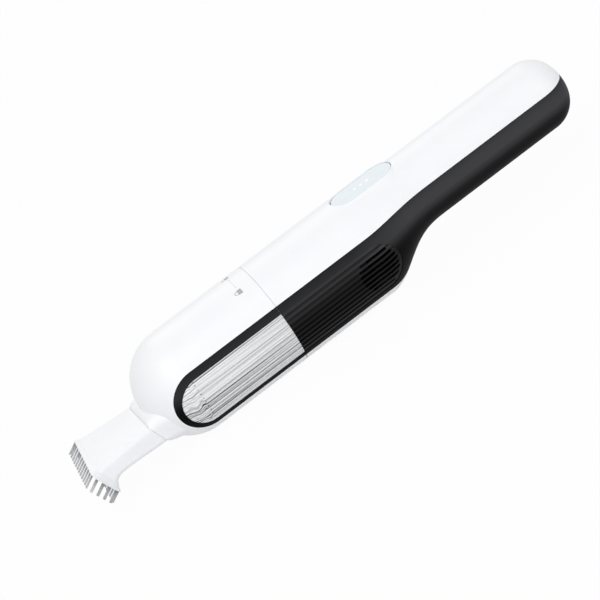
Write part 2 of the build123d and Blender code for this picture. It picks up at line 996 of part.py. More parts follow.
# Inlet duct with its flap
hinge_rise = socket_mid + pocket_height / 2 + hinge_lift
hinge_x = duct_rear + free_gap + ear_radius
hinge = Plane(
    origin=(seam_x + hinge_x, 0, axis_height + hinge_rise), x_dir=(1, 0, 0), z_dir=(0, -1, 0)
)
ear_outer = ear_inner + ear_thickness
with BuildPart() as inlet_duct:
    block(duct_front, duct_rear, pocket_width, pocket_height, pocket_corner, socket_mid)
    for sy in (-1, 1):
        with BuildSketch(hinge.offset(sy * (ear_inner + ear_thickness / 2))):
            Circle(ear_radius)
            with Locations((-ear_length / 2, -hinge_lift / 2)):
                Rectangle(ear_length, hinge_lift)
            with Locations((-ear_length / 2, ear_radius / 2)):
                Rectangle(ear_length, ear_radius)
            with Locations((-ear_length, -hinge_lift / 2)):
                Rectangle(ear_length, hinge_lift + ear_radius)
        extrude(amount=ear_thickness / 2, both=True)
    block(
        duct_front, duct_rear, passage_width, passage_height, passage_corner, socket_mid, Mode.SUBTRACT
    )
    with BuildSketch(hinge):
        Circle(pin_radius)
    extrude(amount=ear_outer, both=True, mode=Mode.SUBTRACT)

publish(inlet_duct, "inlet_duct")

with BuildPart() as flap_pin:
    with BuildSketch(hinge):
        Circle(pin_radius)
    extrude(amount=ear_outer, both=True)

publish(flap_pin, "flap_pin")

flap_drop = hinge_lift + pocket_height - flap_bottom_margin
flap_mid_x = duct_rear + free_gap + flap_thickness / 2
with BuildPart() as inlet_flap:
    with BuildSketch(hinge):
        Circle(flap_barrel)
    extrude(amount=flap_neck_half_width, both=True)
    with BuildSketch(level(hinge_rise)):
        with Locations((flap_mid_x, 0)):
            Rectangle(flap_thickness, 2 * flap_neck_half_width)
    extrude(amount=-flap_drop)
    with BuildSketch(level(hinge_rise - flap_drop_top)):
        with Locations((flap_mid_x, 0)):
            Rectangle(flap_thickness, 2 * flap_half_width)
    extrude(amount=-(flap_drop - flap_drop_top))
    with BuildSketch(hinge):
        Circle(pin_radius + fit_gap)
    extrude(amount=ear_outer, both=True, mode=Mode.SUBTRACT)

publish(inlet_flap, "inlet_flap")

# Brush nozzle
root_margin = nozzle_root_rise - socket_mid - passage_height / 2
with BuildPart() as brush_nozzle:
    nozzle_loft(
        (root_width, root_height, root_corner, 0),
        (neck_width, neck_height, neck_corner, 0),
        (mouth_width, mouth_height, mouth_corner, 0),
        Mode.ADD,
    )
    block(
        spigot_rear,
        collar_front_top - overrun,
        spigot_width,
        spigot_height,
        spigot_corner,
        socket_mid,
    )
    nozzle_loft(
        (passage_width, passage_height, passage_corner, root_margin),
        (
            neck_width - 2 * neck_wall,
            neck_height - 2 * neck_wall,
            neck_corner - neck_wall,
            neck_wall,
        ),
        (
            mouth_width - 2 * mouth_wall,
            mouth_height - 2 * mouth_wall,
            mouth_corner - mouth_wall,
            mouth_wall,
        ),
        Mode.SUBTRACT,
    )
    block(
        spigot_rear,
        collar_front_top - overrun,
        passage_width,
        passage_height,
        passage_corner,
        socket_mid,
        Mode.SUBTRACT,
    )

publish(brush_nozzle, "brush_nozzle")

with BuildPart() as nozzle_seal:
    block(
        nozzle_seal_front,
        nozzle_seal_rear,
        pocket_width - 2 * fit_gap,
        pocket_height - 2 * fit_gap,
        pocket_corner - fit_gap,
        socket_mid,
    )
    block(
        nozzle_seal_front,
        nozzle_seal_rear,
        spigot_width,
        spigot_height,
        spigot_corner,
        socket_mid,
        Mode.SUBTRACT,
    )

publish(nozzle_seal, "nozzle_seal")

# Bristles set round the mouth
rim_plane = mouth_plane(nozzle_front_top, nozzle_mouth_rise, mouth_tilt, mouth_skew)
bristle_lean = radians(bristle_dip)
bristle_way = (-cos(bristle_lean), 0, -sin(bristle_lean))
with BuildPart() as brush_bristles:
    with BuildSketch(rim_plane):
        with Locations((0, mouth_height / 2)):
            RectangleRounded(
                mouth_width - 2 * backing_margin,
                mouth_height - 2 * backing_margin,
                mouth_corner - backing_margin,
            )
            RectangleRounded(
                mouth_width - 2 * mouth_wall + 2 * backing_margin,
                mouth_height - 2 * mouth_wall + 2 * backing_margin,
                mouth_corner - mouth_wall + backing_margin,
                mode=Mode.SUBTRACT,
            )
            tuft_path = RectangleRounded(
                mouth_width - 2 * tuft_inset,
                mouth_height - 2 * tuft_inset,
                mouth_corner - tuft_inset,
                mode=Mode.PRIVATE,
            ).wire()
    extrude(amount=backing)
    with BuildSketch(rim_plane.offset(backing / 2)):
        for tuft in range(tuft_count):
            spot = tuft_path @ (tuft / tuft_count)
            way = tuft_path % (tuft / tuft_count)
            turn = Vector(1, 0).get_signed_angle(way)
            with Locations(Location(spot, (0, 0, turn))):
                with GridLocations(strand_pitch, row_pitch, tuft_strands, tuft_rows):
                    Rectangle(strand_side, strand_side)
    extrude(amount=bristle_length, dir=bristle_way)

publish(brush_bristles, "brush_bristles")
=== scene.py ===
"""Looks of a handheld vacuum cleaner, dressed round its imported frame.

Metres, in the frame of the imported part: +X towards the handle end, +Z up, and
-Y towards the camera. Stations along the body count from the ring seam.
"""
import logging
import math
import random
from dataclasses import dataclass, field
from enum import Enum
from typing import Dict, List, Sequence, Tuple, Union

import bmesh
import bpy
from mathutils import Matrix, Vector


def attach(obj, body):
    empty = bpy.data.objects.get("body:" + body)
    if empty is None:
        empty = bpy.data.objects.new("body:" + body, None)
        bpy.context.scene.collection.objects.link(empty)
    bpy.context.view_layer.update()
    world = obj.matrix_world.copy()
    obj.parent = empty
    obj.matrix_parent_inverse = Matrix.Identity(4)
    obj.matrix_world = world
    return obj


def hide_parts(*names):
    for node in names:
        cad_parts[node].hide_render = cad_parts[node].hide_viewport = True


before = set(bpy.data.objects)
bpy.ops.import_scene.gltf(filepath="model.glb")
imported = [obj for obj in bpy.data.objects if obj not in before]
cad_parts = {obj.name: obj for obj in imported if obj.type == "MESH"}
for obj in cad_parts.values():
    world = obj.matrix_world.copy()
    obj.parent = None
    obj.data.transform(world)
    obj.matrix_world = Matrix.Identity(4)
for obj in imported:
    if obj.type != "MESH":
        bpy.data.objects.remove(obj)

LOG = logging.getLogger("vacuum")
MM = 0.001
Colour = Triple = Tuple[float, float, float]
Span = Tuple[float, float]
Noise = Tuple[float, float]  # per metre, octaves
Relief = Tuple[float, float]  # strength of a bump, its depth
Section = Tuple[float, float, float, Matrix]  # width, height, corner radius, place
Socket = bpy.types.NodeSocket
TONE_STOPS: Span = (0.3, 0.7)
NOISE_MEAN = 0.5
GRAIN_DETAIL = 1.0
SHEEN_SCALE = 310.0
WAVE_WIDTH = math.pi / 10.0


@dataclass(frozen=True)
class Datums:
    """Lines and steps that more than one piece is set out from."""

    seam_x: float = -32.6 * MM
    axis_height: float = 30.199 * MM
    body_radius: float = 31.0 * MM
    rib_pitch: float = 2.82 * MM

    def point(self, station: float, side: float, rise: float) -> Vector:
        """Point at a station, a distance to the right and a rise above the long axis."""
        return Vector((self.seam_x + station, side, self.axis_height + rise))


DATUMS = Datums()


class Grain(Enum):
    """Texture of a moulded surface: noise per metre, bump strength and depth."""

    POLISHED = (900.0, 0.03, 0.00002)
    SATIN = (2600.0, 0.06, 0.00003)
    SPARK = (3400.0, 0.16, 0.00005)
    POWDER = (4200.0, 0.1, 0.00004)


class NodeSheet:
    """A material with short calls for the nodes that the finishes share."""

    def __init__(self, name: str) -> None:
        """Start a material with its plain shader.

        Args:
            name: Name of the material.
        """
        self.material = bpy.data.materials.new(name)
        self.material.use_nodes = True
        self.tree = self.material.node_tree
        self.shader = self.tree.nodes["Principled BSDF"]

    def node(self, kind: str, **settings: object) -> bpy.types.Node:
        """Add a node.

        Args:
            kind: Type of the node.
            settings: Properties to set on it.

        Returns:
            The new node.
        """
        made = self.tree.nodes.new(kind)
        for key, value in settings.items():
            setattr(made, key, value)
        return made

    def join(self, source: Socket, target: Socket) -> None:
        """Link one socket to another."""
        self.tree.links.new(source, target)

    def plain(self, **values: object) -> None:
        """Set values that hold all over the surface, named with _ for a space."""
        for key, value in values.items():
            self.shader.inputs[key.replace("_", " ")].default_value = value

    def spot(
        self, stretch: Sequence[float] = (1.0, 1.0, 1.0), shift: Sequence[float] = (0.0, 0.0, 0.0)
    ) -> Socket:
        """Place on the object.

        Args:
            stretch: Scale along each axis.
            shift: What is added after that.

        Returns:
            Socket with the scaled place.
        """
        coords = self.node("ShaderNodeTexCoord")
        mapping = self.node("ShaderNodeMapping")
        mapping.inputs["Scale"].default_value = stretch
        mapping.inputs["Location"].default_value = shift
        self.join(coords.outputs["Object"], mapping.inputs["Vector"])
        return mapping.outputs["Vector"]

    def axes(self) -> bpy.types.bpy_prop_collection:
        """Place on the object, with a socket for each of X, Y and Z."""
        parts = self.node("ShaderNodeSeparateXYZ")
        self.join(self.spot(), parts.inputs["Vector"])
        return parts.outputs

    def noise(
        self, scale: float, detail: float = 2.0, stretch: Sequence[float] = (1.0, 1.0, 1.0)
    ) -> Socket:
        """Noise over the surface.

        Args:
            scale: Noise per metre.
            detail: Octaves of detail.
            stretch: Scale along each axis.

        Returns:
            Socket with the noise value.
        """
        made = self.node("ShaderNodeTexNoise")
        made.inputs["Scale"].default_value = scale
        made.inputs["Detail"].default_value = detail
        self.join(self.spot(stretch), made.inputs["Vector"])
        return made.outputs["Fac"]

    def bands(self, scale: float, axis: str) -> Socket:
        """Even bands across one axis.

        Args:
            scale: Bands per metre.
            axis: Axis that the bands cross, X, Y or Z.

        Returns:
            Socket with the band value.
        """
        made = self.node("ShaderNodeTexWave", wave_type="BANDS", bands_direction=axis)
        made.inputs["Scale"].default_value = scale * WAVE_WIDTH
        self.join(self.spot(), made.inputs["Vector"])
        return made.outputs["Fac"]

    def math(self, operation: str, *values: Union[float, Socket]) -> Socket:
        """Work out a value at each spot.

        Args:
            operation: Name of the operation.
            values: Sockets or numbers that it works on.

        Returns:
            Socket with the result.
        """
        made = self.node("ShaderNodeMath", operation=operation)
        for socket, value in zip(made.inputs, values):
            if isinstance(value, Socket):
                self.join(value, socket)
            else:
                socket.default_value = value
        return made.outputs["Value"]

    def ease(self, amount: Socket, start: Span, end: Span = (0.0, 1.0)) -> Socket:
        """Carry a value from one span to another.

        Args:
            amount: The value.
            start: Span that it lies in.
            end: Span that it is carried to.

        Returns:
            Socket with the carried value.
        """
        made = self.node("ShaderNodeMapRange")
        for key, value in zip(("From Min", "From Max", "To Min", "To Max"), (*start, *end)):
            made.inputs[key].default_value = value
        self.join(amount, made.inputs["Value"])
        return made.outputs["Result"]

    def ramp(self, amount: Socket, stops: Sequence[Tuple[float, Colour]]) -> Socket:
        """Colour by a value.

        Args:
            amount: Value that picks the colour.
            stops: Places on the ramp with their colours.

        Returns:
            Socket with the colour.
        """
        made = self.node("ShaderNodeValToRGB")
        while len(made.color_ramp.elements) < len(stops):
            made.color_ramp.elements.new(0.5)
        for element, (place, colour) in zip(made.color_ramp.elements, stops):
            element.position = place
            element.color = (*colour, 1.0)
        self.join(amount, made.inputs["Fac"])
        return made.outputs["Color"]

    def tones(self, amount: Socket, dark: Colour, light: Colour) -> Socket:
        """Colour that wavers between two tones.

        Args:
            amount: Noise that picks the tone.
            dark: Darker tone.
            light: Lighter tone.

        Returns:
            Socket with the colour.
        """
        return self.ramp(amount, tuple(zip(TONE_STOPS, (dark, light))))

    def dim(self, colour: Socket, share: Socket) -> Socket:
        """Scale a colour.

        Args:
            colour: The colour.
            share: What it is multiplied by.

        Returns:
            Socket with the scaled colour.
        """
        made = self.node("ShaderNodeVectorMath", operation="SCALE")
        self.join(colour, made.inputs["Vector"])
        self.join(share, made.inputs["Scale"])
        return made.outputs["Vector"]

    def paint(self, colour: Socket) -> None:
        """Give the surface a colour."""
        self.join(colour, self.shader.inputs["Base Color"])

    def spread(self, amount: Socket, span: Span) -> None:
        """Give the surface a roughness between two values, picked by a third."""
        self.join(self.ease(amount, (0.0, 1.0), span), self.shader.inputs["Roughness"])

    def bump(self, height: Socket, strength: float, depth: float) -> None:
        """Raise the surface by a value.

        Args:
            height: Value that is the height.
            strength: Strength of the bump.
            depth: Depth in metres.
        """
        made = self.node("ShaderNodeBump")
        made.inputs["Strength"].default_value = strength
        made.inputs["Distance"].default_value = depth
        self.join(height, made.inputs["Height"])
        self.join(made.outputs["Normal"], self.shader.inputs["Normal"])

    def roughen(self, grain: Grain) -> None:
        """Give the surface a grain."""
        scale, strength, depth = grain.value
        self.bump(self.noise(scale, GRAIN_DETAIL), strength, depth)


@dataclass(frozen=True)
class Finish:
    """A look that becomes a material."""

    name: str

    def draw(self, sheet: NodeSheet) -> None:
        """Lay out the nodes, each finish in its own way."""
        raise NotImplementedError

    def material(self) -> bpy.types.Material:
        """Make the material.

        Returns:
            The finished material.
        """
        sheet = NodeSheet(self.name)
        self.draw(sheet)
        return sheet.material


@dataclass(frozen=True)
class MouldedPlastic(Finish):
    """Moulded plastic with faint mottling and a fine grain."""

    dark: Colour
    light: Colour
    roughness: Span
    grain: Grain
    coat: float = 0.0
    specular: float = 0.5
    glow: float = 0.0
    mottling: Noise = (42.0, 3.0)

    def colour(self, sheet: NodeSheet) -> Socket:
        """Mottled colour.

        Args:
            sheet: Material that gets the nodes.

        Returns:
            Socket with the colour.
        """
        return sheet.tones(sheet.noise(*self.mottling), self.dark, self.light)

    def draw(self, sheet: NodeSheet) -> None:
        """Lay out the nodes.

        Args:
            sheet: Material that gets them.
        """
        sheet.paint(self.colour(sheet))
        sheet.spread(sheet.noise(SHEEN_SCALE), self.roughness)
        sheet.roughen(self.grain)
        sheet.plain(Coat_Weight=self.coat, Coat_Roughness=0.22, Specular_IOR_Level=self.specular)
        sheet.plain(Emission_Color=(1.0, 1.0, 1.0, 1.0), Emission_Strength=self.glow)


@dataclass(frozen=True)
class InnerShadePlastic(MouldedPlastic):
    """Moulded plastic with painted shade: its inner face round the motor and under the shoulder is painted
    near black.
    """

    narrowing: Span = (31.0 * MM, 44.0 * MM)
    radii: Span = (29.5 * MM, 23.3 * MM)
    # Share of the colour left where shade is painted on the inner face
    black: float = 0.012
    fade: float = 0.1 * MM

    def colour(self, sheet: NodeSheet) -> Socket:
        """Mottled colour, with painted shade near black on the inner face.

        Args:
            sheet: Material that gets the nodes.

        Returns:
            Socket with the colour.
        """
        # Painted shade: faces inside the shell radius, which narrows along X, are darkened
        reach = sheet.node("ShaderNodeVectorMath", operation="LENGTH")
        sheet.join(sheet.spot((0.0, 1.0, 1.0), (0.0, 0.0, -DATUMS.axis_height)), reach.inputs["Vector"])
        along = sheet.axes()["X"]
        face = sheet.ease(along, self.narrowing, self.radii)
        cover = sheet.math("SUBTRACT", reach.outputs["Value"], face)
        outer = sheet.ease(cover, (-self.fade, 0.0), (self.black, 1.0))
        shade_ends_at = self.narrowing[1]
        beyond = sheet.ease(along, (shade_ends_at, shade_ends_at + self.fade), (self.black, 1.0))
        return sheet.dim(super().colour(sheet), sheet.math("MAXIMUM", outer, beyond))


@dataclass(frozen=True)
class BlackWithPaintedSheen(Finish):
    """Black plastic with a painted sheen: grey painted up its flank by height in place of reflected light,
    stronger towards the grip than at the cup, with painted shade in its groove floors where groove_shade is
    set.
    """

    roughness: Span
    specular: float
    heights: Span = (22.0 * MM, 46.0 * MM)
    reach: Span = (15.0 * MM, 55.0 * MM)
    cup_share: float = 0.5
    # Painted sheen: grey at each share of the height span, light painted on the upper flank and painted
    # shade low down
    greys: Tuple[Span, ...] = (
        (0.14, 0.0028),
        (0.26, 0.0048),
        (0.37, 0.0135),
        (0.46, 0.032),
        (0.60, 0.055),
        (0.79, 0.049),
        (0.95, 0.034),
    )
    blue: float = 1.06
    # Grooves that get painted shade, set out from a middle rise at the rib pitch
    groove_middle: float = 26.499 * MM
    groove_shares: Span = (0.17, 0.24)
    groove_shade: float = 0.0

    def draw(self, sheet: NodeSheet) -> None:
        """Lay out the nodes.

        Args:
            sheet: Material that gets them.
        """
        place = sheet.axes()
        stops = [(height, (grey, grey, grey * self.blue)) for height, grey in self.greys]
        # Painted sheen and shade: the colour rises and falls with height, standing in for reflected light
        painted_sheen = sheet.ramp(sheet.ease(place["Z"], self.heights), stops)
        strength = sheet.ease(place["X"], self.reach, (self.cup_share, 1.0))
        # Painted shade: the groove floors are darkened in colour
        if self.groove_shade > 0.0:
            rise = sheet.math("SUBTRACT", place["Z"], self.groove_middle)
            crest = sheet.math("PINGPONG", rise, DATUMS.rib_pitch / 2)
            low, high = (DATUMS.rib_pitch * share for share in self.groove_shares)
            shade = sheet.ease(crest, (low, high), (1.0 - self.groove_shade, 1.0))
            strength = sheet.math("MULTIPLY", strength, shade)
        sheet.paint(sheet.dim(painted_sheen, strength))
        sheet.spread(sheet.noise(SHEEN_SCALE), self.roughness)
        sheet.roughen(Grain.SPARK)
        sheet.plain(Specular_IOR_Level=self.specular)


@dataclass(frozen=True)
class FlutedClear(Finish):
    """Clear plastic with painted light: light and dark streaks of painted refraction along its flutes, which
    swirl round the domed end, and painted glints where the flutes meet the dome.
    """

    bend: float = DATUMS.seam_x - 59.8 * MM
    tick: float = 0.4 * MM
    fade: float = 2.0 * MM
    stirring: Noise = (130.0, 1.0)
    swirl: float = 4.0 * MM
    streaks: Span = (300.0, 1500.0)
    streak_gains: Span = (0.5, 1.6)
    streak_detail: float = 1.0
    drift: float = 0.004
    base_shade: float = 0.58
    flute_gain: float = 0.12
    line_gain: float = 0.17
    domed_gain: float = 0.14
    # Painted glints: dark ticks at each flute where the flutes meet the dome
    painted_glint_level: float = 0.35
    painted_glint_gain: float = -0.45
    # Painted light and shade: the greys stand in for light seen through and off the window
    greys: Tuple[Tuple[float, Colour], ...] = (
        (0.12, (0.08, 0.08, 0.083)),
        (0.27, (0.36, 0.362, 0.365)),
        (0.40, (0.62, 0.622, 0.625)),
        (0.58, (0.79, 0.792, 0.795)),
        (0.70, (0.98, 0.98, 0.98)),
    )
    polish: Noise = (420.0, 2.0)
    polish_stretch: Triple = (0.03, 1.0, 1.0)
    roughness: Span = (0.05, 0.16)
    relief: Relief = (0.3, 0.0003)

    def streak(self, sheet: NodeSheet, along: Socket, rise: Socket, scale: float) -> Socket:
        """Uneven painted streaks of refracted light that run along the body.

        Args:
            sheet: Material that gets the nodes.
            along: Place along the body.
            rise: Place up the side.
            scale: Streaks per metre.

        Returns:
            Socket with the streak value, zero on average.
        """
        spot = sheet.node("ShaderNodeCombineXYZ")
        sheet.join(sheet.math("MULTIPLY", along, self.drift), spot.inputs["X"])
        sheet.join(rise, spot.inputs["Y"])
        made = sheet.node("ShaderNodeTexNoise", noise_dimensions="2D")
        made.inputs["Scale"].default_value = scale
        made.inputs["Detail"].default_value = self.streak_detail
        sheet.join(spot.outputs["Vector"], made.inputs["Vector"])
        return sheet.math("SUBTRACT", made.outputs["Fac"], NOISE_MEAN)

    def comb(self, sheet: NodeSheet, rise: Socket, lines: int) -> Socket:
        """Even painted lines of refracted light that run along the body.

        Args:
            sheet: Material that gets the nodes.
            rise: Place up the side.
            lines: Lines to each flute.

        Returns:
            Socket with the line value, zero on average.
        """
        turn = sheet.math("MULTIPLY", rise, 2.0 * math.pi * lines / DATUMS.rib_pitch)
        return sheet.math("SINE", turn)

    def draw(self, sheet: NodeSheet) -> None:
        """Lay out the nodes.

        Args:
            sheet: Material that gets them.
        """
        place = sheet.axes()
        along = place["X"]
        domed = sheet.ease(along, (self.bend, self.bend - self.fade))
        stir = sheet.math("SUBTRACT", sheet.noise(*self.stirring), NOISE_MEAN)
        stirred = sheet.math("MULTIPLY", stir, domed)
        rise = sheet.math("MULTIPLY_ADD", stirred, self.swirl, place["Z"])
        broad, fine = (self.streak(sheet, along, rise, scale) for scale in self.streaks)
        # Painted glints at the flute ends, where the dome begins
        edge = sheet.math("COMPARE", along, self.bend, self.tick)
        painted_glint = sheet.math("GREATER_THAN", self.comb(sheet, place["Z"], 1), self.painted_glint_level)
        shade: Union[float, Socket] = self.base_shade
        for layer, gain in (
            (fine, self.streak_gains[1]),
            (broad, self.streak_gains[0]),
            (self.comb(sheet, rise, 1), self.flute_gain),
            (self.comb(sheet, rise, 2), sheet.math("MULTIPLY_ADD", domed, self.domed_gain, self.line_gain)),
            (sheet.math("MULTIPLY", edge, painted_glint), self.painted_glint_gain),
        ):
            shade = sheet.math("MULTIPLY_ADD", layer, gain, shade)
        # The window's colour carries painted refraction and reflection
        sheet.paint(sheet.ramp(shade, self.greys))
        sheet.spread(sheet.noise(*self.polish, self.polish_stretch), self.roughness)
        sheet.bump(sheet.bands(2.0 / DATUMS.rib_pitch, "Z"), *self.relief)
        sheet.plain(Transmission_Weight=0.10, IOR=1.46, Coat_Weight=0.6, Coat_Roughness=0.05)


@dataclass(frozen=True)
class NylonFibre(Finish):
    """Bristle nylon with painted shade: darker at the root than at the tip."""

    root: Colour
    tip: Colour
    attribute: str
    tip_from: float = 0.55
    sheen: float = 900.0
    roughness: Span = (0.38, 0.52)

    def draw(self, sheet: NodeSheet) -> None:
        """Lay out the nodes.

        Args:
            sheet: Material that gets them.
        """
        along = sheet.node("ShaderNodeAttribute", attribute_name=self.attribute)
        # Painted shade at the root, fading to the tip colour
        stops = ((0.0, self.root), (self.tip_from, self.tip), (1.0, self.tip))
        sheet.paint(sheet.ramp(along.outputs["Fac"], stops))
        sheet.spread(sheet.noise(self.sheen), self.roughness)
        sheet.plain(Specular_IOR_Level=0.4)


@dataclass(frozen=True)
class SoftRubber(Finish):
    """Soft rubber with a dull, faintly powdery face."""

    dark: Colour
    light: Colour
    mottling: Noise = (180.0, 4.0)
    sheen: float = 600.0
    roughness: Span = (0.6, 0.78)

    def draw(self, sheet: NodeSheet) -> None:
        """Lay out the nodes.

        Args:
            sheet: Material that gets them.
        """
        sheet.paint(sheet.tones(sheet.noise(*self.mottling), self.dark, self.light))
        sheet.spread(sheet.noise(self.sheen), self.roughness)
        sheet.roughen(Grain.POWDER)
        sheet.plain(Specular_IOR_Level=0.3)


@dataclass(frozen=True)
class FilterCloth(Finish):
    """Pressed filter cloth with short matted fibres."""

    dark: Colour = (0.66, 0.66, 0.63)
    light: Colour = (0.88, 0.88, 0.85)
    fibres: Noise = (2400.0, 5.0)
    fibre_stretch: Triple = (0.4, 1.0, 1.0)
    relief: Relief = (0.4, 0.0001)

    def draw(self, sheet: NodeSheet) -> None:
        """Lay out the nodes.

        Args:
            sheet: Material that gets them.
        """
        fibres = sheet.noise(*self.fibres, self.fibre_stretch)
        sheet.paint(sheet.tones(fibres, self.dark, self.light))
        sheet.bump(fibres, *self.relief)
        sheet.plain(Roughness=0.9, Sheen_Weight=0.3)


class Lay(Enum):
    """Direction of the marks on a metal face."""

    ALONG = (0.02, 1.0, 1.0)
    ACROSS = (1.0, 0.04, 0.04)
    CAST = (1.0, 1.0, 1.0)


@dataclass(frozen=True)
class BareMetal(Finish):
    """Bare or plated metal with fine working marks."""

    dark: Colour
    light: Colour
    roughness: Span
    lay: Lay
    marks: Noise = (2600.0, 3.0)
    relief: Relief = (0.08, 0.00003)

    def draw(self, sheet: NodeSheet) -> None:
        """Lay out the nodes.

        Args:
            sheet: Material that gets them.
        """
        marks = sheet.noise(*self.marks, self.lay.value)
        sheet.paint(sheet.tones(marks, self.dark, self.light))
        sheet.spread(marks, self.roughness)
        sheet.bump(marks, *self.relief)
        sheet.plain(Metallic=1.0)


@dataclass(frozen=True)
class CircuitBoard(Finish):
    """Coated circuit board with tracks under the coat."""

    stops: Tuple[Tuple[float, Colour], ...] = ((0.2, (0.012, 0.075, 0.03)), (0.8, (0.03, 0.16, 0.07)))
    track_scale: float = 260.0
    track_gap: float = 0.03
    sheen: float = 300.0
    roughness: Span = (0.28, 0.4)
    relief: Relief = (0.2, 0.00003)

    def draw(self, sheet: NodeSheet) -> None:
        """Lay out the nodes.

        Args:
            sheet: Material that gets them.
        """
        tracks = sheet.node("ShaderNodeTexBrick")
        tracks.inputs["Scale"].default_value = self.track_scale
        tracks.inputs["Mortar Size"].default_value = self.track_gap
        sheet.join(sheet.spot(), tracks.inputs["Vector"])
        sheet.paint(sheet.ramp(tracks.outputs["Fac"], self.stops))
        sheet.spread(sheet.noise(self.sheen), self.roughness)
        sheet.bump(tracks.outputs["Fac"], *self.relief)


@dataclass(frozen=True)
class CellSleeve(Finish):
    """Shrunk sleeve of a battery cell, with a pale band at one end."""

    sleeve: Colour = (0.03, 0.16, 0.09)
    band: Colour = (0.62, 0.64, 0.6)
    band_start: float = 122.0 * MM
    band_fade: float = 0.2 * MM
    sheen: Noise = (240.0, 3.0)
    roughness: Span = (0.22, 0.36)
    creases: Noise = (160.0, 3.0)
    relief: Relief = (0.05, 0.0001)

    def draw(self, sheet: NodeSheet) -> None:
        """Lay out the nodes.

        Args:
            sheet: Material that gets them.
        """
        step = sheet.ease(sheet.axes()["X"], (self.band_start, self.band_start + self.band_fade))
        sheet.paint(sheet.ramp(step, ((0.0, self.sleeve), (1.0, self.band))))
        sheet.spread(sheet.noise(*self.sheen), self.roughness)
        sheet.bump(sheet.noise(*self.creases), *self.relief)


@dataclass(frozen=True)
class PrintedInk(Finish):
    """Thin grey ink, a little uneven."""

    dark: Colour
    light: Colour
    mottling: Noise = (1500.0, 2.0)

    def draw(self, sheet: NodeSheet) -> None:
        """Lay out the nodes.

        Args:
            sheet: Material that gets them.
        """
        sheet.paint(sheet.tones(sheet.noise(*self.mottling), self.dark, self.light))
        sheet.plain(Roughness=0.55)


class Finishes:
    """Every finish of the vacuum cleaner, made once."""

    def __init__(self) -> None:
        """Make the materials."""
        white = ((0.90, 0.905, 0.918), (0.92, 0.925, 0.936), (0.34, 0.42), Grain.SATIN, 0.1)
        nozzle = ((0.89, 0.895, 0.908), (0.91, 0.913, 0.925), (0.32, 0.40), Grain.SATIN, 0.1)
        guide = ((0.86, 0.87, 0.88), (0.92, 0.925, 0.93), (0.2, 0.3), Grain.POLISHED)
        # Inner parts: partly their own dark colour, partly painted shade, kept near black so the vent slots
        # read dark
        inner = ((0.006, 0.0061, 0.0064), (0.009, 0.0091, 0.0095), (0.55, 0.66), Grain.SPARK)
        makers: Tuple[Finish, ...] = (
            MouldedPlastic("white_shell", *white),
            # Top shell and belly cover, with painted shade on their inner faces
            InnerShadePlastic("white_inner_shade", *white),
            MouldedPlastic("nozzle_white", *nozzle),
            # Black shells carry a painted sheen by height
            BlackWithPaintedSheen("black_shell", (0.50, 0.60), 0.04),
            # The ribbed grille also gets painted shade in its grooves
            BlackWithPaintedSheen("black_ribbed", (0.40, 0.50), 0.14, groove_shade=0.8),
            MouldedPlastic("button_blue", (0.78, 0.84, 0.87), (0.81, 0.86, 0.89), (0.36, 0.44), Grain.SATIN),
            # The light dots get a faint white glow, painted light that lifts them to full white
            MouldedPlastic("light_guide", *guide, glow=0.3),
            MouldedPlastic("dark_inner", *inner, specular=0.2),
            MouldedPlastic("pale_inner", (0.66, 0.67, 0.68), (0.72, 0.73, 0.74), (0.38, 0.5), Grain.SATIN),
            FlutedClear("clear_fluted"),
            NylonFibre("bristle_nylon", (0.27, 0.272, 0.278), (0.54, 0.543, 0.553), "along"),
            SoftRubber("seal_rubber", (0.012, 0.012, 0.013), (0.022, 0.022, 0.024)),
            SoftRubber("flap_rubber", (0.52, 0.53, 0.54), (0.6, 0.61, 0.62)),
            FilterCloth("filter_cloth"),
            # Motor can and steel parts are darkened far below bare metal, painted shade inside the body
            BareMetal("motor_alloy", (0.03, 0.0303, 0.031), (0.045, 0.0454, 0.046), (0.55, 0.65), Lay.ALONG),
            BareMetal("plain_steel", (0.10, 0.101, 0.103), (0.15, 0.151, 0.154), (0.4, 0.5), Lay.CAST),
            BareMetal("stacked_steel", (0.07, 0.071, 0.073), (0.12, 0.121, 0.124), (0.45, 0.6), Lay.ACROSS),
            BareMetal("plated_contact", (0.58, 0.55, 0.46), (0.68, 0.65, 0.55), (0.2, 0.3), Lay.CAST),
            CircuitBoard("green_board"),
            CellSleeve("cell_sleeve"),
            PrintedInk("grey_ink", (0.40, 0.402, 0.41), (0.46, 0.462, 0.47)),
            PrintedInk("pale_ink", (0.60, 0.605, 0.61), (0.66, 0.665, 0.67)),
        )
        self.by_name: Dict[str, bpy.types.Material] = {maker.name: maker.material() for maker in makers}

    def dress(self, piece: bpy.types.Object, finish: str) -> None:
        """Give a piece one finish all over.

        Args:
            piece: Object to dress.
            finish: Name of the finish.
        """
        piece.data.materials.clear()
        piece.data.materials.append(self.by_name[finish])


